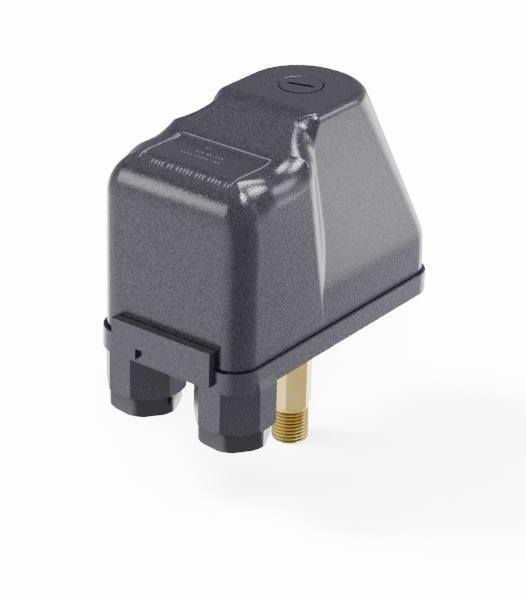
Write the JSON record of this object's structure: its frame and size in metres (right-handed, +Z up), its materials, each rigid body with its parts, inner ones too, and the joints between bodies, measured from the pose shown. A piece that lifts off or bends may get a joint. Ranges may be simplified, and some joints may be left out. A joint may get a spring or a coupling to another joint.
{
  "type": "pressure switch",
  "caption": "Pump pressure switch in a black plastic case, with a lift-off cover, cable glands and a threaded pressure port.",
  "frame": {"origin": "on the pressure port's axis, at the free end of its thread", "axes": "+Z up along the port towards the case; +X to the right seen from the cable glands; +Y from the glands to the rear"},
  "size_m": [0.0644, 0.1127, 0.1322],
  "materials": {
    "case_black": "fine grain, satin",
    "gland_black": "satin",
    "seal_rubber": "matt",
    "yellow_zinc": "yellow zinc plate",
    "bright_zinc": "bright zinc plate",
    "spring_steel": "drawn wire",
    "brass": "bright",
    "contact_plastic": "satin",
    "rocker_plastic": "satin",
    "piston_plastic": "satin"
  },
  "bodies": {
    "housing": {"base_housing": "case_black", "cover_gasket": "seal_rubber", "pressure_port": "yellow_zinc", "diaphragm_flange": "bright_zinc", "diaphragm": "seal_rubber", "flange_screws": "bright_zinc", "frame": "bright_zinc", "anchor_bar": "bright_zinc", "range_stud": "bright_zinc", "stud_cap": "brass", "hinge_pin": "bright_zinc", "differential_stud": "bright_zinc", "contact_block": "contact_plastic", "fixed_contacts": "brass", "terminal_clamps": "bright_zinc", "terminal_screws": "bright_zinc", "rocker_pin": "bright_zinc", "earth_plate": "bright_zinc", "earth_screws": "bright_zinc", "gland_seal_left": "seal_rubber", "gland_seal_right": "seal_rubber", "range_spring": "spring_steel", "differential_spring": "spring_steel"},
    "cover": {"cover": "case_black", "cover_screw_washer": "seal_rubber"},
    "cover_screw": {"cover_screw": "case_black"},
    "piston": {"piston": "piston_plastic"},
    "pressure_lever": {"pressure_lever": "bright_zinc", "spring_seat": "bright_zinc"},
    "contact_rocker": {"contact_rocker": "rocker_plastic", "moving_contacts": "brass", "contact_springs": "spring_steel"},
    "range_cup": {"range_cup": "bright_zinc"},
    "range_nut": {"range_nut": "bright_zinc"},
    "differential_cup": {"differential_cup": "bright_zinc"},
    "differential_nut": {"differential_nut": "bright_zinc"},
    "gland_washer_left": {"gland_washer_left": "gland_black"},
    "gland_nut_left": {"gland_nut_left": "gland_black"},
    "gland_washer_right": {"gland_washer_right": "gland_black"},
    "gland_nut_right": {"gland_nut_right": "gland_black"}
  },
  "joints": [
    {"name": "cover_lift", "type": "slide", "parent": "housing", "child": "cover", "axis": [0, 0, 1], "range_m": [0, 0.08]},
    {"name": "cover_screw_turn", "type": "hinge", "parent": "cover", "child": "cover_screw", "pos_m": [0, 0, 0.125], "axis": [0, 0, 1], "continuous": true},
    {"name": "lever_tilt", "type": "hinge", "parent": "housing", "child": "pressure_lever", "pos_m": [0, 0.026, 0.071], "axis": [-1, 0, 0], "range_deg": [0, 2], "stiffness_Nm_per_rad": 5, "springref_deg": -1.15},
    {"name": "piston_lift", "type": "slide", "parent": "housing", "child": "piston", "axis": [0, 0, 1], "range_m": [0, 0.001]},
    {"name": "rocker_tilt", "type": "hinge", "parent": "housing", "child": "contact_rocker", "pos_m": [0, -0.042, 0.082], "axis": [1, 0, 0], "range_deg": [0, 8]},
    {"name": "range_cup_slide", "type": "slide", "parent": "housing", "child": "range_cup", "axis": [0, 0, -1], "range_m": [-0.0026, 0.0038], "deforming": ["range_spring"]},
    {"name": "range_nut_turn", "type": "hinge", "parent": "range_cup", "child": "range_nut", "pos_m": [0, 0, 0.107], "axis": [0, 0, -1], "range_deg": [-720, 1080]},
    {"name": "differential_cup_slide", "type": "slide", "parent": "housing", "child": "differential_cup", "axis": [0, 0, -1], "range_m": [-0.0017, 0.0025], "deforming": ["differential_spring"]},
    {"name": "differential_nut_turn", "type": "hinge", "parent": "differential_cup", "child": "differential_nut", "pos_m": [0, -0.019, 0.0914], "axis": [0, 0, -1], "range_deg": [-720, 1080]},
    {"name": "gland_left_travel", "type": "slide", "parent": "housing", "child": "gland_washer_left", "axis": [0, 0, -1], "range_m": [0, 0.0031]},
    {"name": "gland_left_turn", "type": "hinge", "parent": "gland_washer_left", "child": "gland_nut_left", "pos_m": [-0.0186, -0.0564, 0.034], "axis": [0, 0, -1], "range_deg": [0, 720]},
    {"name": "gland_right_travel", "type": "slide", "parent": "housing", "child": "gland_washer_right", "axis": [0, 0, -1], "range_m": [0, 0.0031]},
    {"name": "gland_right_turn", "type": "hinge", "parent": "gland_washer_right", "child": "gland_nut_right", "pos_m": [0.0186, -0.0564, 0.034], "axis": [0, 0, -1], "range_deg": [0, 720]}
  ],
  "couplings": [
    {"joint": "piston_lift", "follows": "lever_tilt", "m_per_rad": 0.0258},
    {"joint": "rocker_tilt", "follows": "lever_tilt", "ratio": 4},
    {"joint": "range_cup_slide", "follows": "range_nut_turn", "m_per_rad": 0.00019894},
    {"joint": "differential_cup_slide", "follows": "differential_nut_turn", "m_per_rad": 0.00012732},
    {"joint": "gland_left_travel", "follows": "gland_left_turn", "m_per_rad": 0.00023873},
    {"joint": "gland_right_travel", "follows": "gland_right_turn", "m_per_rad": 0.00023873}
  ]
}
